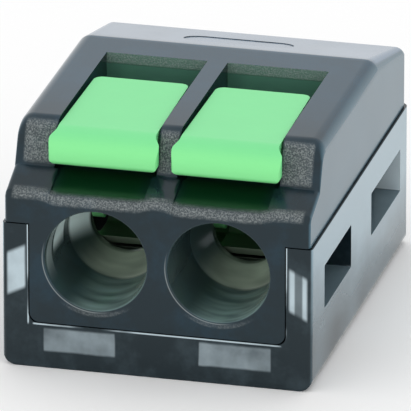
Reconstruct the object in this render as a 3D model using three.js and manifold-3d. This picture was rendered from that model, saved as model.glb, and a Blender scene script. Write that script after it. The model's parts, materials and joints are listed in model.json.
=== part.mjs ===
// Two-pole lever wire connector: a translucent snap-together housing of cover and base, and inside it
// one tinned copper busbar, a clamp spring for each pole and a lever for each pole that lifts the spring.
// Millimetres, +Z up. X runs across the poles, the wires go in along +Y from the front face, and the
// origin is the middle of the underside.
import * as THREE from 'three';
import { mergeVertices } from 'three/addons/utils/BufferGeometryUtils.js';
import Module from 'manifold-3d';

const wasm = await Module();
wasm.setup();

// Fits
const FIT_GAP = 0.06;             // still gap between moulded pieces
const SEAT_GAP = 0.1;             // under and around the metal pieces
const RUNNING_GAP = 0.1;          // between a lever and what it turns beside

// Wire entries
const POLES = 2;
const BORE_RADIUS = 2.6;
const BORE_WEB = 1.07;            // plastic between two neighbouring bores
const BORE_SIDE_WALL = 0.79;
const BORE_FLOOR = 0.9;
const BORE_ROOF = 0.28;
const BORE_DEPTH = 4.4;
const BORE_LEAD_IN = 0.1;         // rounding of the rim
const BORE_DRAFT = 0.05;          // the bore narrows by this towards its funnel
const FUNNEL_DEPTH = 1.4;
const THROAT_RADIUS = 1.75;
const THROAT_DEPTH = 0.5;

// Base tray
const SIDE_WALL = 1.33;
const BACK_WALL = 1.3;
const FLOOR = 1.5;
const SILL_HEIGHT = 2.34;
const SILL_CORNER = 0.5;
const PARTING_ABOVE_BORE = 1.65;  // parting line over the bore axis
const BASE_EDGE = 0.7;            // rounding along the lower side edges
const CORNER_FRONT = 0.22;
const CORNER_BACK = 0.6;
const THIN_SKIN = 0.55;           // sill skin in front of the two floor pockets
const POCKET_FLOOR = 0.87;
const POCKET_WIDTH = 3.75;
const POCKET_OFFSET = 0.78;       // floor pocket's middle, outboard of the bore axis
const POCKET_LENGTH = 5.0;
const POCKET_ROOF = 0.14;
const PAD_FROM_BACK = 1.2;        // busbar pad's rear end, in front of the back wall
const PAD_FROM_FUNNEL = 1;

// Side windows of the base
const WINDOW_SILL = 3.48;
const WINDOW_HEIGHT = 2.27;
const WINDOW_EDGE = 0.1;          // rounding of the window corners
const FRONT_WINDOW = 5.7;         // its length
const FRONT_WINDOW_START = 2.62;  // from the front face
const BACK_WINDOW = 6.4;
const BACK_WINDOW_END = 1.95;     // from the back face

// Cover
const COVER_INSET = 0.12;         // the base stands this proud of the cover
const COVER_EDGE = 0.7;           // rounding along the upper side edges
const LEDGE_EDGE = 0.25;          // the same along the ends of the ledge
const LINE_ROUND = 0.1;           // small roundings along the ledge
const RIDGE_ROUND = 0.5;
const COVER_WALL = 1.2;
const CHEEK_LIP = 0.12;           // ledge front beside the scoops, over the scoop front
const LEDGE_CHAMFER = 0.3;
const LEDGE_CHAMFER_RISE = 0.36;
const LEDGE_DEPTH = 2.06;
const LEDGE_RISE = 0.69;
const SCOOP_DROP = 0.14;          // the ledge is lower than its ends in front of each lever
const SCOOP_HALF_WIDTH = 2.4;
const RISER_SLANT = 0.74;         // how far the riser leans back
const TOP_ROUND = 0.9;
const RIDGE_SETBACK = 2.15;       // ridge behind the lever pockets
const TAIL = 8.58;                // housing behind the lever pockets
const TAIL_DROP = 1.45;
const TAIL_ROUND = 0.8;
const TAIL_DRAFT = 0.28;          // the back of the cover leans forward by this
const DIVIDER = 1.04;
const RECESS_LENGTH = 5.7;        // shallow oval in the rear strip
const RECESS_WIDTH = 1.9;
const RECESS_SINK = 0.07;
const RECESS_SETBACK = 2.3;       // recess's middle, behind the ridge
const POCKET_FOOT = 1.93;         // lever pocket's front end over the ledge, from the front face

// Levers
const FINGER_GAP = 0.44;          // under the blade's nose
const BLADE_THICKNESS = 1.75;
const BLADE_SINK = 0.2;           // blade's top under the cover's top
const BLADE_TAPER = 0.09;
const BLADE_SIDE_GAP = 0.1;
const NOSE_FRONT = 1.25;
const NOSE_SPACING = 0.66;        // between the two noses
const NOSE_CORNER = 1.3;          // rounding from the blade's top down the nose
const NOSE_SIDE_CORNER = 0.45;
const NOSE_LOWER_CORNER = 0.5;
const NOSE_UNDERCUT = 0.2;
const NOSE_UNDER_ROUND = 0.3;
const NOSE_DEPTH = 0.55;
const NOSE_NECK = 0.4;            // length over which the nose narrows to the blade
const NOSE_BLEND = 0.25;          // rounding from the nose's side into the neck
const NECK_BLEND = 0.6;           // rounding from the neck into the blade
const BLADE_REAR_CORNER = 0.45;
const WEB_RUN = 0.8;              // hub plates' upper corner, in front of the hub
const HUB_RADIUS = 2.2;
const PLATE = 0.7;
const PIVOT_RADIUS = 0.9;
const PIVOT_LENGTH = 0.55;
const PIVOT_UNDER_TOP = 3.3;
const PIVOT_SETBACK = 2.7;        // pivot behind the wire entry block
const CAM_RADIUS = 0.5;
const CAM_GAP = 0.06;             // height of the cams over the spring's ears
const CAM_LEAN = 5;               // degrees that the cams lean forward when the lever is shut

// Metal
const BUSBAR_THICKNESS = 0.8;
const BUSBAR_UNDER_BORE = 1.8;    // busbar's upper face under the bore axis
const BUSBAR_LIP = 1.9;
const BUSBAR_BEND = 0.2;          // inner radius where it turns up
const BUSBAR_FROM_FUNNEL = 0.5;
const BUSBAR_FROM_BACK = 0.6;     // from the inside of the back wall
const RIB_HEIGHT = 0.15;
const RIB_HALF_WIDTH = 0.2;
const RIB_START = 1.6;            // first rib behind the busbar's front edge
const RIB_STEP = 0.8;
const RIBS = 3;
const STRIP = 0.35;
const STRIP_SIDE_GAP = 0.175;     // between the strip and the hub plates beside it
const EAR_SIDE_GAP = 0.075;       // from an ear's end to the outer face of the plate over it
const EAR_LENGTH = 0.55;
const SPRING_REST = 0.3;          // clamp edge over the busbar
const SPRING_FROM_BACK = 1.9;     // loop, from the inside of the back wall
const SPRING_FOOT = 0.4;          // lower leg's end behind the lever pocket
const SPRING_SHOULDER = 0.3;      // upper leg's bend behind the lever pocket
const SPRING_BEND = 1.2;
const CLAMP_RUN = 1.3;            // level length at the clamp edge
const CLAMP_BEND = 0.6;
const ROOF = 0.3;                 // inner roof over the conductor chamber

const GRID = 1e-4;                // corners are rounded to this

// Worked out from the sizes above
const polePitch = 2 * BORE_RADIUS + BORE_WEB;
const width = (POLES - 1) * polePitch + 2 * (BORE_RADIUS + BORE_SIDE_WALL + FIT_GAP + SIDE_WALL);
const boreHeight = SILL_HEIGHT + FIT_GAP + BORE_FLOOR + BORE_RADIUS;
const partingHeight = boreHeight + PARTING_ABOVE_BORE;
const entryDepth = BORE_DEPTH + FUNNEL_DEPTH + THROAT_DEPTH;
const scoopFront = boreHeight + BORE_RADIUS + BORE_ROOF;
const ledgeFront = scoopFront + CHEEK_LIP;
const ledgeBack = ledgeFront + LEDGE_CHAMFER_RISE + LEDGE_RISE;
const scoopBack = ledgeBack - SCOOP_DROP;
const bladeUnder = scoopBack + FINGER_GAP;
const bladeTop = bladeUnder + BLADE_THICKNESS;
const coverTop = bladeTop + BLADE_SINK;
const pivotDepth = entryDepth + PIVOT_SETBACK;
const pivotHeight = bladeTop - PIVOT_UNDER_TOP;
const busbarTop = boreHeight - BUSBAR_UNDER_BORE;
const clampHeight = busbarTop + SPRING_REST + STRIP / 2;
const camLean = THREE.MathUtils.degToRad(CAM_LEAN);
const camDrop = pivotHeight - CAM_RADIUS - CAM_GAP - (clampHeight + STRIP / 2);
const camSwing = camDrop / Math.cos(camLean) + CAM_RADIUS + RUNNING_GAP;
const roofUnder = boreHeight + THROAT_RADIUS + SEAT_GAP;
const roofTop = roofUnder + ROOF;
const bladeOverrun = pivotHeight - roofTop - RUNNING_GAP;
const pocketEnd = pivotDepth + Math.hypot(PIVOT_UNDER_TOP, bladeOverrun) + RUNNING_GAP;
const depth = pocketEnd + TAIL;
const pocketHalf = (polePitch - DIVIDER) / 2;
const bladeHalf = pocketHalf - BLADE_SIDE_GAP;
const rearHalf = bladeHalf - BLADE_TAPER;
const noseHalf = (polePitch - NOSE_SPACING) / 2;
const stripHalf = rearHalf - PLATE - STRIP_SIDE_GAP;
const earHalf = rearHalf - EAR_SIDE_GAP;
const innerHalf = width / 2 - SIDE_WALL;
const roofHalf = stripHalf + RUNNING_GAP;
const coverWidth = width - 2 * COVER_INSET;
const coverBack = depth - COVER_INSET;
const poleCentres = Array.from({ length: POLES }, (_, i) => (i - (POLES - 1) / 2) * polePitch);

const smoky = { color: 0x3b4046, roughness: 0.22, metalness: 0 };
const clear = { color: 0x555d64, roughness: 0.2, metalness: 0 };
const green = { color: 0x4fe07a, roughness: 0.35, metalness: 0 };
const steel = { color: 0xb9bcc0, roughness: 0.3, metalness: 1 };
const tinned = { color: 0xc9c2b4, roughness: 0.35, metalness: 1 };

// A closed geometry as a solid that can be joined and cut. Its corners are set on a fine grid, so that
// faces meant to lie in one plane do.
function solid(geometry) {
  const bare = geometry.clone();
  bare.deleteAttribute('normal');
  bare.deleteAttribute('uv');
  const merged = mergeVertices(bare, GRID / 2);
  const snapped = Array.from(merged.attributes.position.array, (value) => Math.round(value / GRID) * GRID);
  return new wasm.Manifold(new wasm.Mesh({
    numProp: 3,
    vertProperties: Float32Array.from(snapped),
    triVerts: Uint32Array.from(merged.index.array),
  }));
}

function meshOf(name, body, finish) {
  const cut = body.getMesh();
  const geometry = new THREE.BufferGeometry();
  geometry.setAttribute('position', new THREE.BufferAttribute(Float32Array.from(cut.vertProperties), 3));
  geometry.setIndex(new THREE.BufferAttribute(Uint32Array.from(cut.triVerts), 1));
  geometry.computeVertexNormals();
  const mesh = new THREE.Mesh(geometry, new THREE.MeshStandardMaterial(finish));
  mesh.name = name;
  return mesh;
}

// A closed outline through corners [x, y, radius]; a radius of 0, or none, leaves the corner sharp.
function outline(corners) {
  const shape = new THREE.Shape();
  corners.forEach(([x, y, radius = 0], i) => {
    const corner = new THREE.Vector2(x, y);
    const last = corners[(i + corners.length - 1) % corners.length];
    const next = corners[(i + 1) % corners.length];
    const back = new THREE.Vector2(last[0], last[1]).sub(corner).normalize();
    const ahead = new THREE.Vector2(next[0], next[1]).sub(corner).normalize();
    const half = Math.acos(THREE.MathUtils.clamp(back.dot(ahead), -1, 1)) / 2;
    const start = corner.clone().addScaledVector(back, radius / Math.tan(half));
    if (i === 0) {
      shape.moveTo(start.x, start.y);
    } else {
      shape.lineTo(start.x, start.y);
    }
    if (radius > 0) {
      const end = corner.clone().addScaledVector(ahead, radius / Math.tan(half));
      const middle = back.clone().add(ahead).normalize();
      const centre = corner.clone().addScaledVector(middle, radius / Math.sin(half));
      const from = Math.atan2(start.y - centre.y, start.x - centre.x);
      const to = Math.atan2(end.y - centre.y, end.x - centre.x);
      shape.absarc(centre.x, centre.y, radius, from, to, back.cross(ahead) > 0);
    }
  });
  shape.closePath();
  return shape;
}

function rectangle(left, right, low, high, radius = 0) {
  return outline([[left, low, radius], [right, low, radius], [right, high, radius], [left, high, radius]]);
}

function extrude(shape, length, segments) {
  return new THREE.ExtrudeGeometry(shape, { depth: length, curveSegments: segments, bevelEnabled: false });
}

const UP = new THREE.Vector3(0, 0, 1);
const ACROSS = new THREE.Vector3(1, 0, 0);
const INWARD = new THREE.Vector3(0, 1, 0);

// An outline in depth and height, swept across from left to right. Depth counts from the front face.
function sweepAcross(shape, left, right, segments = 4) {
  const geometry = extrude(shape, right - left, segments);
  geometry.applyMatrix4(new THREE.Matrix4().makeBasis(INWARD, UP, ACROSS));
  return solid(geometry.translate(left, -depth / 2, 0));
}

// An outline in width and height, swept inward between two depths.
function sweepInward(shape, from, to, segments = 4) {
  const geometry = extrude(shape, to - from, segments);
  geometry.applyMatrix4(new THREE.Matrix4().makeBasis(ACROSS, UP, INWARD.clone().negate()));
  return solid(geometry.translate(0, to - depth / 2, 0));
}

// An outline in width and depth, raised between two heights.
function raise(shape, low, high, segments = 4) {
  return solid(extrude(shape, high - low, segments).translate(0, -depth / 2, low));
}

function block(left, right, front, back, low, high) {
  return raise(rectangle(left, right, front, back), low, high);
}

function rodAcross(radius, left, right, atDepth, height, segments = 40) {
  const geometry = new THREE.CylinderGeometry(radius, radius, right - left, segments);
  geometry.rotateZ(Math.PI / 2);
  return solid(geometry.translate((left + right) / 2, atDepth - depth / 2, height));
}

function joinAll(bodies) {
  return bodies.reduce((sum, body) => sum.add(body));
}

function cutAll(body, cutters) {
  return cutters.reduce((rest, cutter) => rest.subtract(cutter), body);
}

// The housing seen from above, which rounds the four upright edges.
function footprint(inset) {
  const half = width / 2 - inset;
  return outline([
    [-half, 0, CORNER_FRONT], [half, 0, CORNER_FRONT],
    [half, depth - inset, CORNER_BACK], [-half, depth - inset, CORNER_BACK],
  ]);
}

function makeBase() {
  const half = width / 2;
  const section = outline([
    [-half, 0, BASE_EDGE], [half, 0, BASE_EDGE], [half, partingHeight], [-half, partingHeight],
  ]);
  const shell = sweepInward(section, 0, depth).intersect(raise(footprint(0), -1, partingHeight + 1));
  const cavity = block(-innerHalf, innerHalf, BACK_WALL, depth - BACK_WALL, FLOOR, partingHeight + 1);
  const mouth = outline([
    [-innerHalf, SILL_HEIGHT, SILL_CORNER], [innerHalf, SILL_HEIGHT, SILL_CORNER],
    [innerHalf, partingHeight + 1], [-innerHalf, partingHeight + 1],
  ]);
  const frontOpening = sweepInward(mouth, -1, BACK_WALL + 1);
  const floorPockets = poleCentres.map((x) => {
    const middle = x + Math.sign(x) * POCKET_OFFSET;
    const [left, right] = [middle - POCKET_WIDTH / 2, middle + POCKET_WIDTH / 2];
    const pocketTop = SILL_HEIGHT - POCKET_ROOF;
    return block(left, right, THIN_SKIN, THIN_SKIN + POCKET_LENGTH, POCKET_FLOOR, pocketTop);
  });
  const windowEnds = [
    [FRONT_WINDOW_START, FRONT_WINDOW_START + FRONT_WINDOW],
    [depth - BACK_WINDOW_END - BACK_WINDOW, depth - BACK_WINDOW_END],
  ];
  const windows = windowEnds.map(([front, back]) => {
    const opening = rectangle(front, back, WINDOW_SILL, WINDOW_SILL + WINDOW_HEIGHT, WINDOW_EDGE);
    return sweepAcross(opening, -half - 1, half + 1, 2);
  });
  const padTop = busbarTop - BUSBAR_THICKNESS - SEAT_GAP;
  const padHalf = polePitch / 2 + stripHalf;
  const [padFront, padBack] = [entryDepth + PAD_FROM_FUNNEL, depth - BACK_WALL - PAD_FROM_BACK];
  const pad = block(-padHalf, padHalf, padFront, padBack, FLOOR / 2, padTop);
  return cutAll(shell, [cavity, frontOpening, ...floorPockets, ...windows]).add(pad);
}

// The cover's upper line from front to back, as points of depth and height.
function coverLine() {
  const tailTop = coverTop - TAIL_DROP;
  const line = outline([
    [0, partingHeight],
    [0, ledgeFront],
    [LEDGE_CHAMFER, ledgeFront + LEDGE_CHAMFER_RISE, LINE_ROUND],
    [LEDGE_DEPTH, ledgeBack, LINE_ROUND],
    [LEDGE_DEPTH + RISER_SLANT, coverTop, TOP_ROUND],
    [pocketEnd + RIDGE_SETBACK, coverTop, RIDGE_ROUND],
    [coverBack - TAIL_DRAFT, tailTop, TAIL_ROUND],
    [coverBack, partingHeight],
  ]).getPoints(4);
  return line.filter((point, i) => point.y > partingHeight && (i === 0 || point.x > line[i - 1].x + 1e-3));
}

// The cover's outer body: one section whose height follows the upper line. Its two upper edges are
// rounded, less along the ledge than above it.
function coverBody() {
  const half = coverWidth / 2;
  const low = partingHeight + FIT_GAP;
  const section = outline([
    [-half, low], [half, low], [half, coverTop, COVER_EDGE], [-half, coverTop, COVER_EDGE],
  ]);
  const front = new THREE.Vector2(0, ledgeFront);
  const stations = [front, ...coverLine().filter((point) => point.x > 1e-3)].reverse();
  const steps = stations.length - 1;
  const geometry = new THREE.ExtrudeGeometry(section, {
    depth: steps,
    steps,
    curveSegments: 3,
    bevelEnabled: false,
  });
  const place = geometry.attributes.position;
  for (let i = 0; i < place.count; i += 1) {
    const station = stations[Math.round(place.getZ(i))];
    const [x, y] = [place.getX(i), place.getY(i)];
    if (y > low + GRID) {
      const share = THREE.MathUtils.clamp((station.y - ledgeBack) / (coverTop - ledgeBack), 0, 1);
      const rounding = THREE.MathUtils.lerp(LEDGE_EDGE / COVER_EDGE, 1, share);
      const inset = (half - Math.abs(x)) * rounding;
      place.setXYZ(i, Math.sign(x) * (half - inset), station.y - (coverTop - y) * rounding, -station.x);
    } else {
      place.setXYZ(i, x, y, -station.x);
    }
  }
  geometry.applyMatrix4(new THREE.Matrix4().makeBasis(ACROSS, UP, INWARD.clone().negate()));
  return solid(geometry.translate(0, -depth / 2, 0));
}

// One round wire entry with its lead-in, funnel and throat, as a solid to cut away.
function wireEntry(x) {
  const profile = [
    [0, -1],
    [BORE_RADIUS + BORE_LEAD_IN, -1],
    [BORE_RADIUS + BORE_LEAD_IN, 0],
    [BORE_RADIUS + BORE_LEAD_IN * 0.3, BORE_LEAD_IN * 0.3],
    [BORE_RADIUS, BORE_LEAD_IN],
    [BORE_RADIUS - BORE_DRAFT, BORE_DEPTH],
    [THROAT_RADIUS, BORE_DEPTH + FUNNEL_DEPTH],
    [THROAT_RADIUS, entryDepth + 1],
    [0, entryDepth + 1],
  ];
  const points = profile.map(([radius, along]) => new THREE.Vector2(radius, along));
  return solid(new THREE.LatheGeometry(points, 56).translate(x, -depth / 2, boreHeight));
}

function leverPocket(x) {
  const scoop = outline([
    [-1, scoopFront - LEDGE_CHAMFER_RISE],
    [0, scoopFront],
    [LEDGE_CHAMFER, scoopFront + LEDGE_CHAMFER_RISE],
    [LEDGE_DEPTH, scoopBack],
    [entryDepth, scoopBack],
    [entryDepth, coverTop + 1],
    [-1, coverTop + 1],
  ]);
  const deep = [x - pocketHalf, x + pocketHalf];
  return [
    sweepAcross(scoop, x - SCOOP_HALF_WIDTH, x + SCOOP_HALF_WIDTH),
    block(...deep, POCKET_FOOT, entryDepth + 1, scoopBack, coverTop + 1),
    block(...deep, entryDepth, pocketEnd, roofTop, coverTop + 1),
    block(...deep, entryDepth, pocketEnd + COVER_WALL + 1, 0, roofUnder),
    ...[-1, 1].map((hand) => {
      const [left, right] = [x + hand * roofHalf, x + hand * pocketHalf].sort((a, b) => a - b);
      const behind = pivotDepth + HUB_RADIUS + RUNNING_GAP;
      return rodAcross(camSwing, left, right, pivotDepth, pivotHeight, 64)
        .intersect(block(left - 1, right + 1, 0, behind, 0, coverTop + 1));
    }),
  ];
}

function makeCover() {
  const half = coverWidth / 2;
  const upper = coverBody().intersect(raise(footprint(COVER_INSET), partingHeight, coverTop + 1));
  const plugHalf = innerHalf - FIT_GAP;
  const plugLow = SILL_HEIGHT + FIT_GAP;
  const plug = sweepInward(outline([
    [-plugHalf, plugLow, SILL_CORNER], [plugHalf, plugLow, SILL_CORNER],
    [plugHalf, partingHeight + 0.5], [-plugHalf, partingHeight + 0.5],
  ]), 0, entryDepth);
  const tailRoom = [-1, 1].map((side) => {
    const [near, far] = [side * DIVIDER / 2, side * (half - COVER_WALL)].sort((a, b) => a - b);
    const section = outline([
      [pocketEnd + COVER_WALL, 0],
      [coverBack - COVER_WALL, 0],
      [coverBack - COVER_WALL, coverTop - TAIL_DROP - COVER_WALL],
      [pocketEnd + RIDGE_SETBACK, coverTop - COVER_WALL],
      [pocketEnd + COVER_WALL, coverTop - COVER_WALL],
    ]);
    return sweepAcross(section, near, far);
  });
  const recessMiddle = pocketEnd + RIDGE_SETBACK + RECESS_SETBACK;
  const recessOutline = rectangle(
    -RECESS_LENGTH / 2,
    RECESS_LENGTH / 2,
    recessMiddle - RECESS_WIDTH / 2,
    recessMiddle + RECESS_WIDTH / 2,
    RECESS_WIDTH / 2 - GRID,
  );
  const overTail = outline([
    [pocketEnd + RIDGE_SETBACK, coverTop - RECESS_SINK],
    [coverBack, coverTop - TAIL_DROP - RECESS_SINK],
    [coverBack, coverTop + 1],
    [pocketEnd + RIDGE_SETBACK, coverTop + 1],
  ]);
  const recess = raise(recessOutline, coverTop - 2 * TAIL_DROP, coverTop + 1)
    .intersect(sweepAcross(overTail, -RECESS_LENGTH, RECESS_LENGTH));
  const socketEnd = poleCentres[POLES - 1] + bladeHalf + PIVOT_LENGTH + RUNNING_GAP;
  const socketRadius = PIVOT_RADIUS + RUNNING_GAP;
  const pivotSockets = rodAcross(socketRadius, -socketEnd, socketEnd, pivotDepth, pivotHeight);
  const pockets = poleCentres.flatMap((x) => leverPocket(x));
  const entries = poleCentres.map((x) => wireEntry(x));
  return cutAll(upper.add(plug), [...pockets, pivotSockets, ...tailRoom, recess, ...entries]);
}

// A lever: a thick blade with a flared nose, two hub plates under its rear end, a cam on each plate and
// a short round pivot out of each side.
function makeLever(x) {
  const rear = pivotDepth + bladeOverrun;
  const flareEnd = NOSE_FRONT + NOSE_DEPTH;
  const plan = outline([
    [x - noseHalf, NOSE_FRONT, NOSE_SIDE_CORNER],
    [x + noseHalf, NOSE_FRONT, NOSE_SIDE_CORNER],
    [x + noseHalf, flareEnd, NOSE_BLEND],
    [x + bladeHalf, flareEnd + NOSE_NECK, NECK_BLEND],
    [x + rearHalf, rear, BLADE_REAR_CORNER],
    [x - rearHalf, rear, BLADE_REAR_CORNER],
    [x - bladeHalf, flareEnd + NOSE_NECK, NECK_BLEND],
    [x - noseHalf, flareEnd, NOSE_BLEND],
  ]);
  const side = outline([
    [NOSE_FRONT, bladeTop, NOSE_CORNER],
    [NOSE_FRONT + NOSE_UNDERCUT, bladeUnder, NOSE_UNDER_ROUND],
    [rear + 1, bladeUnder],
    [rear + 1, bladeTop],
  ]);
  const front = outline([
    [x - noseHalf, bladeUnder, NOSE_LOWER_CORNER],
    [x + noseHalf, bladeUnder, NOSE_LOWER_CORNER],
    [x + noseHalf, bladeTop, NOSE_UNDER_ROUND],
    [x - noseHalf, bladeTop, NOSE_UNDER_ROUND],
  ]);
  const blade = raise(plan, bladeUnder, bladeTop, 6)
    .intersect(sweepAcross(side, x - noseHalf - 1, x + noseHalf + 1, 8))
    .intersect(sweepInward(front, 0, rear + 1, 6));
  const camDepth = pivotDepth - camDrop * Math.tan(camLean);
  const camHeight = pivotHeight - camDrop;
  const web = outline([
    [camDepth - CAM_RADIUS, camHeight],
    [camDepth + CAM_RADIUS, camHeight],
    [pivotDepth + HUB_RADIUS, pivotHeight],
    [rear, bladeUnder + PLATE],
    [pivotDepth - HUB_RADIUS - WEB_RUN, bladeUnder + PLATE],
    [pivotDepth - HUB_RADIUS, pivotHeight],
  ]);
  const plates = [-1, 1].flatMap((hand) => {
    const [left, right] = [hand * rearHalf, hand * (rearHalf - PLATE)].sort((a, b) => a - b);
    return [
      sweepAcross(web, x + left, x + right),
      rodAcross(HUB_RADIUS, x + left, x + right, pivotDepth, pivotHeight),
      rodAcross(CAM_RADIUS, x + left, x + right, camDepth, camHeight, 20),
    ];
  });
  const pivots = [-1, 1].map((hand) => {
    const ends = [hand * (rearHalf - PLATE / 2), hand * (bladeHalf + PIVOT_LENGTH)];
    const [left, right] = ends.sort((a, b) => a - b);
    return rodAcross(PIVOT_RADIUS, x + left, x + right, pivotDepth, pivotHeight, 32);
  });
  return joinAll([blade, ...plates, ...pivots]);
}

// The strip's centre line, from the fixed end on the busbar round the loop to the clamp edge.
function springPath() {
  const low = busbarTop + SEAT_GAP + STRIP / 2;
  const high = roofUnder - SEAT_GAP - STRIP;
  const loopRadius = (high - low) / 2;
  const loopDepth = depth - BACK_WALL - SPRING_FROM_BACK - loopRadius;
  const tip = entryDepth + SEAT_GAP + EAR_LENGTH;
  return [
    [pocketEnd + SPRING_FOOT, low, 0],
    [loopDepth, low, 0],
    [loopDepth + loopRadius, low, loopRadius - STRIP / 10],
    [loopDepth + loopRadius, high, loopRadius - STRIP / 10],
    [loopDepth, high, 0],
    [pocketEnd + SPRING_SHOULDER, high, SPRING_BEND],
    [tip + CLAMP_RUN, clampHeight, CLAMP_BEND],
    [tip - EAR_LENGTH, clampHeight, 0],
  ];
}

// A strip of even thickness whose centre line is the given open route.
function stripOutline(route, thickness) {
  const line = outline(route).getPoints(5);
  const open = line.slice(0, line.length - 1);
  const edges = [1, -1].map((hand) => open.map((point, i) => {
    const before = open[Math.max(i - 1, 0)];
    const after = open[Math.min(i + 1, open.length - 1)];
    const along = after.clone().sub(before).normalize();
    return new THREE.Vector2(
      point.x - hand * along.y * thickness / 2,
      point.y + hand * along.x * thickness / 2,
    );
  }));
  return new THREE.Shape([...edges[0], ...edges[1].reverse()]);
}

function makeSpring(x) {
  const route = springPath();
  const [tipDepth, tipHeight] = route[route.length - 1];
  const strip = sweepAcross(stripOutline(route, STRIP), x - stripHalf, x + stripHalf);
  const ears = block(
    x - earHalf,
    x + earHalf,
    tipDepth,
    tipDepth + EAR_LENGTH,
    tipHeight - STRIP / 2,
    tipHeight + STRIP / 2,
  );
  return strip.add(ears);
}

// One bar for both poles, with contact ribs under each clamp edge and a lip behind the springs.
function makeBusbar() {
  const half = polePitch / 2 + stripHalf;
  const front = entryDepth + BUSBAR_FROM_FUNNEL;
  const back = depth - BACK_WALL - BUSBAR_FROM_BACK;
  const low = busbarTop - BUSBAR_THICKNESS;
  const bar = outline([
    [front, low],
    [back, low, BUSBAR_THICKNESS + BUSBAR_BEND],
    [back, busbarTop + BUSBAR_LIP],
    [back - BUSBAR_THICKNESS, busbarTop + BUSBAR_LIP],
    [back - BUSBAR_THICKNESS, busbarTop, BUSBAR_BEND],
    [front, busbarTop],
  ]);
  const slot = block(-DIVIDER / 2, DIVIDER / 2, pocketEnd, back + 1, 0, coverTop);
  const ribs = Array.from({ length: RIBS }, (_, i) => {
    const middle = front + RIB_START + i * RIB_STEP;
    const rib = outline([
      [middle - RIB_HALF_WIDTH, busbarTop - BUSBAR_THICKNESS / 2],
      [middle - RIB_HALF_WIDTH, busbarTop],
      [middle, busbarTop + RIB_HEIGHT],
      [middle + RIB_HALF_WIDTH, busbarTop],
      [middle + RIB_HALF_WIDTH, busbarTop - BUSBAR_THICKNESS / 2],
    ]);
    return sweepAcross(rib, -half, half);
  });
  return joinAll([sweepAcross(bar, -half, half), ...ribs]).subtract(slot);
}

const sides = ['left', 'right'];
const connector = new THREE.Group();
connector.add(meshOf('base', makeBase(), clear));
connector.add(meshOf('cover', makeCover(), smoky));
connector.add(meshOf('busbar', makeBusbar(), tinned));
poleCentres.forEach((x, i) => {
  connector.add(meshOf(`lever_${sides[i]}`, makeLever(x), green));
  connector.add(meshOf(`clamp_spring_${sides[i]}`, makeSpring(x), steel));
});

export default connector;
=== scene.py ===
import json
import math

import bmesh
import bpy
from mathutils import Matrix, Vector


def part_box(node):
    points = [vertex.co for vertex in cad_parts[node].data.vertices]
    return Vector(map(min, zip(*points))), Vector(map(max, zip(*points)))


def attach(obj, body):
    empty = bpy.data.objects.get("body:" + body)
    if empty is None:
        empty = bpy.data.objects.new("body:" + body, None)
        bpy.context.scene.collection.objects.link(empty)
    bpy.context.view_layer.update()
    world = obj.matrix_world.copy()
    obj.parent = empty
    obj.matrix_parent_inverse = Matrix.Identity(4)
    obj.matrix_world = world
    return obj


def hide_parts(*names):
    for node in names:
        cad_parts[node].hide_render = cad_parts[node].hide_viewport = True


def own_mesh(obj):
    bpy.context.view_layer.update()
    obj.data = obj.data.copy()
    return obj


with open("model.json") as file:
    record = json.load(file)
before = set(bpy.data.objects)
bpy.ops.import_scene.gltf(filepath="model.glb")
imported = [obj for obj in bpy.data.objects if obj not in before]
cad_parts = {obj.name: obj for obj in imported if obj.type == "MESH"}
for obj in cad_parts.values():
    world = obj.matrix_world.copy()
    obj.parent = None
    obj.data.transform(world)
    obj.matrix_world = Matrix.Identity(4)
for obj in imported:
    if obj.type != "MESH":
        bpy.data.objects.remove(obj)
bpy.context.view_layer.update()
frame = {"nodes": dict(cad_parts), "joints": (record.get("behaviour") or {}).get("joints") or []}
MM = 0.001


# ---- Base tray -------------------------------------------------------------------------------------
# The lower half of the housing, injection moulded in smoke-tinted clear polycarbonate. Its front is a
# U-shaped frame that the cover's block sits in, and each side wall has two through windows.
def moulded(name, node, edge, segments=2, angle=24, crease=40):
    """A finished copy of a CAD node: flat facets joined, every sharp edge broken by a small radius."""
    mesh = frame["nodes"][node].data.copy()
    mesh.name = name
    piece = bpy.data.objects.new(name, mesh)
    bpy.context.scene.collection.objects.link(piece)
    shape = bmesh.new()
    shape.from_mesh(mesh)
    bmesh.ops.remove_doubles(shape, verts=shape.verts, dist=0.002 * MM)
    bmesh.ops.dissolve_limit(
        shape, angle_limit=math.radians(0.6), verts=shape.verts, edges=shape.edges, delimit={"NORMAL"}
    )
    shape.to_mesh(mesh)
    shape.free()
    bevel = piece.modifiers.new("Edge", "BEVEL")
    bevel.width = edge
    bevel.segments = segments
    bevel.limit_method = "ANGLE"
    bevel.angle_limit = math.radians(angle)
    bevel.miter_outer = "MITER_ARC"
    bpy.context.view_layer.objects.active = piece
    piece.select_set(True)
    bpy.ops.object.modifier_apply(modifier="Edge")
    bpy.ops.object.shade_smooth_by_angle(angle=math.radians(crease))
    weights = piece.modifiers.new("Shading", "WEIGHTED_NORMAL")
    weights.keep_sharp = True
    weights.weight = 100
    bpy.ops.object.modifier_apply(modifier="Shading")
    piece.select_set(False)
    return piece


class Amount:
    """A number that varies over a surface. Arithmetic on it adds Math nodes to its finish."""

    def __init__(self, finish, socket):
        self.finish = finish
        self.socket = socket

    def maths(self, operation, *terms):
        return self.finish.node("ShaderNodeMath", {"operation": operation}, dict(enumerate(terms)))

    def __add__(self, other):
        return self.maths("ADD", self, other)

    def __sub__(self, other):
        return self.maths("SUBTRACT", self, other)

    def __rsub__(self, other):
        return self.maths("SUBTRACT", other, self)

    def __mul__(self, other):
        return self.maths("MULTIPLY", self, other)

    def __pow__(self, other):
        return self.maths("POWER", self, other)

    def size(self):
        return self.maths("ABSOLUTE", self)

    def sign(self):
        return self.maths("SIGN", self)

    def highest(self, other):
        return self.maths("MAXIMUM", self, other)

    def lowest(self, other):
        return self.maths("MINIMUM", self, other)

    __radd__ = __add__
    __rmul__ = __mul__


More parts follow.
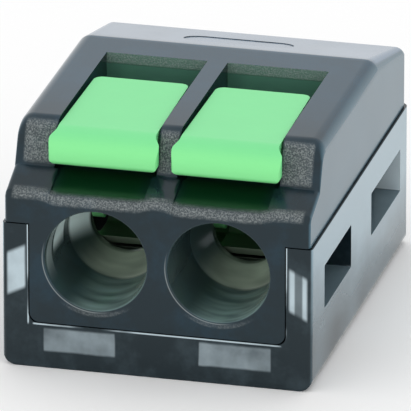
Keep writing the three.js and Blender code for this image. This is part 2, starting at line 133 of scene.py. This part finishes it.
class Finish:
    """A material under construction around one Principled shader. Places on the piece are in metres."""

    def __init__(self, name, **sockets):
        self.material = bpy.data.materials.new(name)
        self.material.use_nodes = True
        self.tree = self.material.node_tree
        self.shader = self.tree.nodes["Principled BSDF"]
        for key, value in sockets.items():
            self.set(key.replace("_", " "), value)
        self.place = self.node("ShaderNodeTexCoord", {}, {}, "Object")
        self.x, self.y, self.z = self.apart(self.place)
        self.across, self.inward, self.up = self.apart(self.node("ShaderNodeTexCoord", {}, {}, "Normal"))

    def apart(self, vector):
        along_x = self.node("ShaderNodeSeparateXYZ", {}, {"Vector": vector})
        return [Amount(self, socket) for socket in along_x.socket.node.outputs]

    def feed(self, socket, value):
        if isinstance(value, Amount):
            self.tree.links.new(value.socket, socket)
        elif isinstance(value, tuple) and socket.type == "RGBA":
            socket.default_value = (*value, 1)
        else:
            socket.default_value = value

    def set(self, socket, value):
        self.feed(self.shader.inputs[socket], value)

    def node(self, kind, settings, sockets, output=0):
        made = self.tree.nodes.new(kind)
        for key, value in settings.items():
            setattr(made, key, value)
        for key, value in sockets.items():
            self.feed(made.inputs[key], value)
        return Amount(self, made.outputs[output])

    def ramp(self, along, start, end):
        """0 before start and 1 after end, eased between them. Start may be the higher of the two."""
        low, high, turned = (start, end, False) if start < end else (end, start, True)
        sockets = {"Value": along, "From Min": low, "From Max": high}
        eased = self.node("ShaderNodeMapRange", {"interpolation_type": "SMOOTHSTEP"}, sockets)
        return 1 - eased if turned else eased

    def past(self, along, start, soft=0.1 * MM):
        return self.ramp(along, start, start + soft)

    def short_of(self, along, end, soft=0.1 * MM):
        return self.ramp(along, end, end - soft)

    def between(self, along, span, soft=0.05 * MM):
        """1 where along is within the span, with edges that are soft to either side of its ends."""
        low, high = span
        return self.ramp(along, low - soft, low + soft) * self.ramp(along, high + soft, high - soft)

    def noise(self, cells_per_metre, detail=2, roughness=0.5, place=None):
        sockets = {"Vector": place or self.place, "Scale": cells_per_metre}
        sockets.update({"Detail": detail, "Roughness": roughness})
        return self.node("ShaderNodeTexNoise", {}, sockets)

    def stretched(self, x, y, z):
        return self.node("ShaderNodeMapping", {}, {"Vector": self.place, "Scale": (x, y, z)})

    def blend(self, factor, below, above):
        """A colour that goes from below to above as factor goes from 0 to 1."""
        factor_at, below_at, above_at, colour_at = 0, 6, 7, 2
        sockets = {factor_at: factor, below_at: below, above_at: above}
        return self.node("ShaderNodeMix", {"data_type": "RGBA"}, sockets, colour_at)

    def relief(self, height, distance):
        self.set("Normal", self.node("ShaderNodeBump", {}, {"Height": height, "Distance": distance}))

    def wear(self, piece):
        piece.data.materials.clear()
        piece.data.materials.append(self.material)


HOUSING_EDGE = 0.07 * MM
COOL = (0.8, 0.93, 1.0)
SMOKE = (0.006, 0.013, 0.017)
PAINTED_WALL_LIGHT = (0.26, 0.37, 0.43)
PAINTED_REVEAL_LIGHT = (0.55, 0.65, 0.7)
PAINTED_LIGHT_PATCH = (0.5, 0.6, 0.65)
SIDE_WALL = 7.4 * MM
WINDOW_REACH = (6.6 * MM, 8 * MM)
WINDOW_SILL = 3.6 * MM
BACK_WINDOW = 12 * MM
FLOOR_POCKET_REACH = (2.15 * MM, 5.8 * MM)
FLOOR_POCKET_HEIGHT = (0.9 * MM, 2.1 * MM)
POST_REACH = (6.75 * MM, 7.65 * MM)
POST_MIDDLE = 7.2 * MM
POST_RIB = (7.02 * MM, 7.42 * MM)
POST_LIGHT_HEIGHT = (4.0 * MM, 6.2 * MM)
POST_SEAM = (6.56 * MM, 6.64 * MM)
POST_SEAM_FOOT = 2.2 * MM
SILL_SEAM = (2.26 * MM, 2.34 * MM)
SILL_SEAM_REACH = 6.4 * MM

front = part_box("base")[0].y
base = moulded("base_tray", "base", HOUSING_EDGE)
clear = Finish("smoke_clear_plastic", IOR=1.45, Specular_Tint=COOL)
depth_in = clear.y - front
reach = clear.x.size()
streaks = clear.noise(700, 3, place=clear.stretched(1, 0.12, 1)) - 0.5
panels = clear.noise(420, 1, place=clear.stretched(1, 0.5, 0.35)) - 0.5
smudge = clear.ramp(clear.noise(520, 4, 0.65), 0.42, 0.75)

# Painted light through the thin walls: paler towards their upper rear, and paler on the reveals of the
# windows.
side_wall = clear.ramp(clear.across.size(), 0.5, 0.9) * clear.past(reach, SIDE_WALL, 0.3 * MM)
upright = clear.ramp(clear.z + 0.12 * depth_in, 2 * MM, 8 * MM)
side_wall = side_wall * (0.22 + 0.85 * upright + 0.3 * streaks + 0.7 * panels)
back_wall = clear.ramp(clear.inward, 0.6, 0.9)
window_floor = clear.ramp(clear.up, 0.6, 0.9) * clear.between(reach, WINDOW_REACH)
window_floor = window_floor * clear.short_of(clear.z, WINDOW_SILL)
window_back = clear.ramp(clear.inward, -0.6, -0.9) * clear.past(depth_in, BACK_WINDOW, 2 * MM)
painted_wall_light = side_wall + 0.35 * back_wall + 0.45 * window_floor + 0.07 * smudge
smoke_and_painted_light = clear.blend(painted_wall_light, SMOKE, PAINTED_WALL_LIGHT)
smoke_and_painted_light = clear.blend(window_back, smoke_and_painted_light, PAINTED_REVEAL_LIGHT)

# Painted light where the front is only a skin: over the floor pockets and on the posts, and a painted
# highlight along the seam.
ragged = 0.1 * MM * (clear.noise(900) - 0.5)
over_pocket = clear.between(reach + ragged, FLOOR_POCKET_REACH)
over_pocket = over_pocket * clear.between(clear.z + ragged, FLOOR_POCKET_HEIGHT, 0.08 * MM)
slanting = clear.z + 0.5 * (reach - POST_MIDDLE)
on_post = clear.between(reach, POST_REACH, 0.08 * MM) * clear.between(slanting, POST_LIGHT_HEIGHT, 0.15 * MM)
on_post = on_post * (1 - 0.75 * clear.between(clear.x, POST_RIB, 0.06 * MM))
post_seam_highlight = clear.between(reach, POST_SEAM, 0.02 * MM) * clear.past(clear.z, POST_SEAM_FOOT, 0.2 * MM)
sill_seam_highlight = clear.between(clear.z, SILL_SEAM, 0.02 * MM) * clear.short_of(reach, SILL_SEAM_REACH)
seam_highlight = post_seam_highlight.highest(sill_seam_highlight) * clear.ramp(clear.noise(350), 0.38, 0.55)
lit = ((0.38 + 0.8 * streaks) * over_pocket).highest((0.95 + 0.8 * streaks) * on_post).highest(seam_highlight)
front_face = clear.ramp(clear.inward, -0.6, -0.9) * clear.short_of(depth_in, 0.4 * MM, 0.2 * MM)
clear.set("Base Color", clear.blend(front_face * lit, smoke_and_painted_light, PAINTED_LIGHT_PATCH))
clear.set("Roughness", 0.08 + 0.1 * clear.noise(260, 3))
clear.relief(clear.noise(600), 0.003 * MM)
clear.wear(base)
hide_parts("base")
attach(base, "housing")


# ---- Busbar ----------------------------------------------------------------------------------------
# One strip of copper, stamped, bent up behind the springs and plated with tin. It lies loose on the
# base's pad, and its three cross ribs grip the bare wire.
# The tin's colour is painted shade and a painted green reflection of the levers: dark and tinted green for
# the closed chamber.
SHADED_METAL = (0.07, 0.1, 0.07)
LIT_METAL = (0.15, 0.19, 0.14)

busbar = moulded("tinned_busbar", "busbar", 0.04 * MM)
tin = Finish("bright_tin", Metallic=1.0)
rolled = tin.noise(900, 3, place=tin.stretched(1, 0.08, 1))
tin.set("Base Color", tin.blend(rolled, SHADED_METAL, LIT_METAL))
tin.set("Roughness", 0.3 + 0.25 * rolled)
tin.relief(rolled, 0.006 * MM)
tin.wear(busbar)
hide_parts("busbar")
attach(busbar, "housing")


# ---- Clamp springs ---------------------------------------------------------------------------------
# Stainless strip, bent into a loop whose lower leg lies on the busbar. The upper leg comes forward to
# a wide clamp edge, and the lever's cams lift it by its two ears.
steel = Finish("spring_strip", Metallic=1.0)
grain = steel.noise(1400, 3, place=steel.stretched(0.05, 1, 1))
# The steel wears the same painted shade and painted green reflection of the levers.
steel.set("Base Color", steel.blend(grain, SHADED_METAL, LIT_METAL))
steel.set("Roughness", 0.25 + 0.22 * grain)
steel.relief(grain, 0.004 * MM)
for side in ("left", "right"):
    spring = moulded(f"strip_spring_{side}", f"clamp_spring_{side}", 0.03 * MM)
    steel.wear(spring)
    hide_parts(f"clamp_spring_{side}")
    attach(spring, "housing")
    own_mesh(spring)


# ---- Levers ----------------------------------------------------------------------------------------
# Bright green polyamide, moulded in one piece each: a thick blade with a rounded nose, two hub plates,
# their cams and the short round pivots that snap into the cover.
GREEN = (0.18, 0.74, 0.29)
CLOUDED_GREEN = (0.22, 0.8, 0.33)
NOSE_PAINTED_LIGHT = (0.25, 0.86, 0.32)

leaf = Finish("green_lever_plastic", IOR=1.45)
cloud = leaf.noise(420, 3)
# Painted light: the forward-facing nose is painted a lighter green, for the light falling on its front.
nose = leaf.ramp(leaf.up, 1.0, 0.4) * leaf.ramp(leaf.inward, 0.0, -0.6)
leaf.set("Base Color", leaf.blend(nose, leaf.blend(cloud, GREEN, CLOUDED_GREEN), NOSE_PAINTED_LIGHT))
leaf.set("Roughness", 0.3 + 0.15 * cloud)
leaf.relief(leaf.noise(1500, 3), 0.008 * MM)
for side in ("left", "right"):
    lever = moulded(f"lever_arm_{side}", f"lever_{side}", 0.2 * MM, segments=4, angle=30, crease=60)
    leaf.wear(lever)
    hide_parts(f"lever_{side}")
    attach(lever, f"{side}_lever")


# ---- Cover -----------------------------------------------------------------------------------------
# The upper half of the housing, moulded in darker smoke polycarbonate, with the wire entries, the
# lever pockets and spark-eroded patches on the riser and along the front edge of the ledge.
SHOULDER_PAINTED_LIGHT = (0.012, 0.05, 0.085)
SIDE_PAINTED_LIGHT = (0.055, 0.13, 0.178)
TAIL_PAINTED_LIGHT = (0.19, 0.26, 0.35)
SHOULDER_HEIGHT = 9 * MM
TAIL_DEPTH = 14.2 * MM

cover = moulded("cover_shell", "cover", HOUSING_EDGE)
dark = Finish("dark_smoke_plastic", IOR=1.45, Specular_Tint=COOL, Emission_Strength=1.0)
drift = dark.noise(240, 3)
depth_in = dark.y - front
reach = dark.x.size()
facing_front = dark.ramp(dark.inward, -0.3, -0.7)
facing_up = dark.ramp(dark.up, 0.5, 0.8)
side_wall = dark.ramp(dark.across.size(), 0.45, 0.95) * dark.past(reach, 7.1 * MM, 0.5 * MM)
back_wall = dark.ramp(dark.inward, 0.6, 0.9)
tail = facing_up * dark.past(depth_in, TAIL_DEPTH, 1.1 * MM)
shoulder = facing_up * dark.ramp(depth_in, 0.3 * MM, 9 * MM) * dark.past(dark.z, SHOULDER_HEIGHT, 1.5 * MM)
# Painted light: paler on the upward faces of the shoulder and the tail, on the side walls and on the back
# wall; drift and smudge add random tone.
sheen = 0.85 + 0.6 * (dark.noise(330, place=dark.stretched(1, 0.35, 0.6)) - 0.5)
smudge = dark.ramp(dark.noise(520, 4, 0.65), 0.42, 0.75)
smoke_and_painted_light = dark.blend(0.8 * shoulder + 0.1 * drift + 0.3 * smudge, SMOKE, SHOULDER_PAINTED_LIGHT)
smoke_and_painted_light = dark.blend(sheen * side_wall, smoke_and_painted_light, SIDE_PAINTED_LIGHT)
smoke_and_painted_light = dark.blend(sheen * tail + 0.6 * back_wall, smoke_and_painted_light, TAIL_PAINTED_LIGHT)

# Each wire entry is a bore, then a funnel, then a throat that opens into the clamping chamber.
ENTRY_HEIGHT = 5.9 * MM
ENTRY_RADIUS = 2.69 * MM
FUNNEL_START = 4.2 * MM
THROAT_START = 6.5 * MM
BORE_PAINTED_LIGHT = (0.28, 0.42, 0.4)
FUNNEL_SHADE = (0.03, 0.055, 0.035)
FUNNEL_GLOW = (0.66, 0.78, 0.62)
FUNNEL_GLINT = (0.8, 0.88, 0.75)

hinges = {joint["name"]: joint for joint in frame["joints"]}
pole = hinges["right_lever_hinge"]["pos_m"][0]
off_pole = (reach - pole).size()
off_axis = dark.x - pole * dark.x.sign()
below = ENTRY_HEIGHT - dark.z
from_axis = (off_pole ** 2 + below ** 2) ** 0.5
brushed = dark.noise(1100, place=dark.stretched(0.3, 1, 0.3))
in_bore = dark.short_of(from_axis, ENTRY_RADIUS, 0.09 * MM)
in_bore = in_bore * dark.short_of(depth_in, THROAT_START, 0.3 * MM)
in_funnel = in_bore * dark.past(depth_in, FUNNEL_START, 0.4 * MM)
# Painted light and shade in the entries: paler green on the bore, painted shade and glow in the funnel, and
# a painted glint where the funnel starts.
bore_glow = dark.ramp(0.5 * off_axis + below, 1.2 * MM, 2.9 * MM) * dark.ramp(brushed, 0.15, 0.8)
funnel_glow = dark.ramp(0.8 * off_axis + 0.7 * below, -1.1 * MM, 2.3 * MM) * (0.1 + 1.4 * brushed)
funnel_glint = in_bore * dark.between(depth_in, (FUNNEL_START, FUNNEL_START + 0.3 * MM), 0.1 * MM)
funnel_glint = funnel_glint * dark.ramp(off_axis + below, 2.2 * MM, 3.2 * MM)
smoke_and_painted_light = dark.blend(in_bore * (0.12 + 0.9 * bore_glow), smoke_and_painted_light, BORE_PAINTED_LIGHT)
smoke_and_painted_light = dark.blend(in_funnel * (0.3 + 0.9 * funnel_glow), smoke_and_painted_light, FUNNEL_SHADE)
smoke_and_painted_light = dark.blend(in_funnel * funnel_glow, smoke_and_painted_light, FUNNEL_GLOW)
smoke_and_painted_light = dark.blend(0.5 * funnel_glint, smoke_and_painted_light, FUNNEL_GLINT)

# Painted light: daylight through the outer wall of the entries is painted in three upright bars of colour
# and glow, and green light from the levers is painted as a faint glow in the chambers.
BAR_PAINTED_DAYLIGHT = (0.72, 0.86, 0.86)
BAR_LIGHT = (0.1, 0.125, 0.12)
CHAMBER_LIGHT = (0.012, 0.04, 0.014)
CHAMBER_START = 6.4 * MM
CHAMBER_END = 16 * MM
CHAMBER_REACH = 6.4 * MM
CHAMBER_TOP = 8.6 * MM
FIRST_BAR = (0.3 * MM, 1.3 * MM)
SECOND_BAR = (1.6 * MM, 3.5 * MM)
THIRD_BAR = (4.45 * MM, 5.75 * MM)
BAR_REACH = 1.1 * MM

slanting = depth_in + 0.12 * below
first_bar = dark.between(slanting, FIRST_BAR, 0.1 * MM) * dark.ramp(dark.z, 4.4 * MM, 6.2 * MM)
second_bar = dark.between(slanting, SECOND_BAR, 0.1 * MM) * dark.ramp(dark.z, 5.4 * MM, 6.2 * MM)
third_bar = dark.between(depth_in, THIRD_BAR, 0.1 * MM) * dark.ramp(dark.z, 4.9 * MM, 6.1 * MM)
bars = (0.3 * first_bar).highest(second_bar).highest(third_bar)
bars = bars * in_bore * dark.past(reach, pole + BAR_REACH, 0.4 * MM)
smoke_and_painted_light = dark.blend(bars, smoke_and_painted_light, BAR_PAINTED_DAYLIGHT)
chamber = dark.past(depth_in, CHAMBER_START, 0.3 * MM) * dark.short_of(depth_in, CHAMBER_END, 2 * MM)
chamber = chamber * dark.short_of(reach, CHAMBER_REACH, 0.2 * MM)
chamber = chamber * dark.short_of(dark.z, CHAMBER_TOP, 0.4 * MM)
green_light = dark.blend(chamber, (0, 0, 0), CHAMBER_LIGHT)
dark.set("Emission Color", dark.blend(bars * (0.4 + 0.9 * brushed), green_light, BAR_LIGHT))

# A painted highlight on the lower rim of each entry, and painted deep green shade on the ledge under each
# lever.
RIM = (2.7 * MM, 2.75 * MM)
RIM_HIGHLIGHT = (0.4, 0.45, 0.45)
NOSE_SHADE = (0.001, 0.018, 0.005)
NOSE_SHADE_DEPTH = (0.4 * MM, 2.4 * MM)
LEDGE_HEIGHT = 9 * MM

on_face = dark.short_of(depth_in, 0.2 * MM)
lower_rim_highlight = dark.between(from_axis, RIM, 0.02 * MM) * dark.ramp(below - off_axis, 1.6 * MM, 3.2 * MM)
smoke_and_painted_light = dark.blend(0.5 * on_face * lower_rim_highlight, smoke_and_painted_light, RIM_HIGHLIGHT)
under_nose = dark.ramp(off_pole, 3 * MM, 1.7 * MM) * dark.between(depth_in, NOSE_SHADE_DEPTH, 0.2 * MM)
under_nose = facing_up * under_nose * dark.past(dark.z, LEDGE_HEIGHT, 0.2 * MM)
smoke_and_painted_light = dark.blend(under_nose, smoke_and_painted_light, NOSE_SHADE)

# Spark-eroded patches: a band on the ledge's edge, the cheeks and the divider on the riser, a strip
# behind each lever and an arc under each entry.
POCKET_PAINTED_GREEN_LIGHT = (0.08, 0.19, 0.15)
GRIT_GREY = (0.34, 0.37, 0.37)
BAND_HEIGHT = (8.95 * MM, 9.36 * MM)
BAND_DEPTH = 0.7 * MM
BAND_REACH = 7.5 * MM
BAND_DIP = 0.22 * MM
RISER_HEIGHT = (10.1 * MM, 12.05 * MM)
RISER_DEPTH = 4.4 * MM
CHEEK_REACH = (5.8 * MM, 7.35 * MM)
DIVIDER_REACH = 0.5 * MM
POCKET_BACK = (12.2 * MM, 12.7 * MM)
POCKET_REACH = 5.9 * MM
STRIP_HEIGHT = 11.6 * MM
ENTRY_ARC = (2.76 * MM, 2.95 * MM)

speck = dark.noise(13000, roughness=0.6)
wobble = 0.12 * MM * (dark.noise(700) - 0.5)
scooped = dark.ramp(off_pole, 3 * MM, 1.9 * MM)
band = dark.between(dark.z + wobble + BAND_DIP * scooped, BAND_HEIGHT, 0.13 * MM)
band = band * dark.short_of(depth_in, BAND_DEPTH, 0.2 * MM) * dark.short_of(reach, BAND_REACH, 0.2 * MM)
riser = facing_front * dark.between(dark.z + wobble, RISER_HEIGHT, 0.12 * MM)
riser = riser * dark.short_of(depth_in, RISER_DEPTH, 0.3 * MM)
riser = riser * dark.between(reach, CHEEK_REACH, 0.08 * MM).highest(dark.short_of(reach, DIVIDER_REACH))
pocket_back = facing_front * dark.between(depth_in, POCKET_BACK)
pocket_back = pocket_back * dark.short_of(reach, POCKET_REACH, 0.2 * MM)
strip = pocket_back * dark.past(dark.z, STRIP_HEIGHT)
arc = on_face * dark.between(from_axis, ENTRY_ARC, 0.06 * MM) * dark.ramp(below, 2.2 * MM, 2.8 * MM)
sparked = band.highest(riser).highest(strip).highest(0.4 * arc)
# The back wall of each pocket is painted green-grey, as painted light from the green lever.
smoke_and_painted_light = dark.blend(pocket_back, smoke_and_painted_light, POCKET_PAINTED_GREEN_LIGHT)
smoke_and_painted_light = dark.blend(sparked * (0.16 + 0.5 * dark.ramp(speck, 0.4, 0.66)), smoke_and_painted_light, GRIT_GREY)
dark.set("Base Color", smoke_and_painted_light)
dark.set("Roughness", (0.1 + 0.12 * drift + 0.5 * sparked).lowest(0.7))
dark.relief(0.1 * dark.noise(600) + 4 * speck * sparked, 0.01 * MM)
dark.wear(cover)
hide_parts("cover")
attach(cover, "housing")


# ---- Table, light and camera -----------------------------------------------------------------------
# A plain white table under an even white tent, and a long lens that looks down on the front right
# corner.
TABLE_REACH = 2.0
TABLE_DROP = 0.02 * MM
TABLE_WHITE = (0.98, 0.98, 0.98)
TENT_STRENGTH = 1.02
AZIMUTH = math.radians(14.04)
ELEVATION = math.radians(21.47)
DISTANCE = 0.6
AIM_DEPTH = 9.95 * MM
AIM_HEIGHT = 5.4 * MM
VIEW_WIDTH = 20.65 * MM
SENSOR = 36

scene = bpy.context.scene
scene.view_settings.view_transform = "Standard"
corners = [(TABLE_REACH * x, TABLE_REACH * y, -TABLE_DROP) for x, y in ((-1, -1), (1, -1), (1, 1), (-1, 1))]
board = bpy.data.meshes.new("white_table")
board.from_pydata(corners, [], [(0, 1, 2, 3)])
table = bpy.data.objects.new("white_table", board)
scene.collection.objects.link(table)
matt = Finish("matt_white_board", Base_Color=TABLE_WHITE, Roughness=1.0, Specular_IOR_Level=0.0)
matt.wear(table)

world = bpy.data.worlds.new("white_tent")
scene.world = world
world.use_nodes = True
tent = world.node_tree.nodes["Background"]
tent.inputs["Color"].default_value = (1, 1, 1, 1)
tent.inputs["Strength"].default_value = TENT_STRENGTH

lens = bpy.data.cameras.new("long_lens")
lens.sensor_width = SENSOR
lens.lens = SENSOR * DISTANCE / VIEW_WIDTH
lens.clip_start = 0.01
camera = bpy.data.objects.new("camera", lens)
scene.collection.objects.link(camera)
backward = Vector((
    math.sin(AZIMUTH) * math.cos(ELEVATION),
    -math.cos(AZIMUTH) * math.cos(ELEVATION),
    math.sin(ELEVATION),
))
camera.location = Vector((0, front + AIM_DEPTH, AIM_HEIGHT)) + DISTANCE * backward
camera.rotation_euler = backward.to_track_quat("Z", "Y").to_euler()
scene.camera = camera
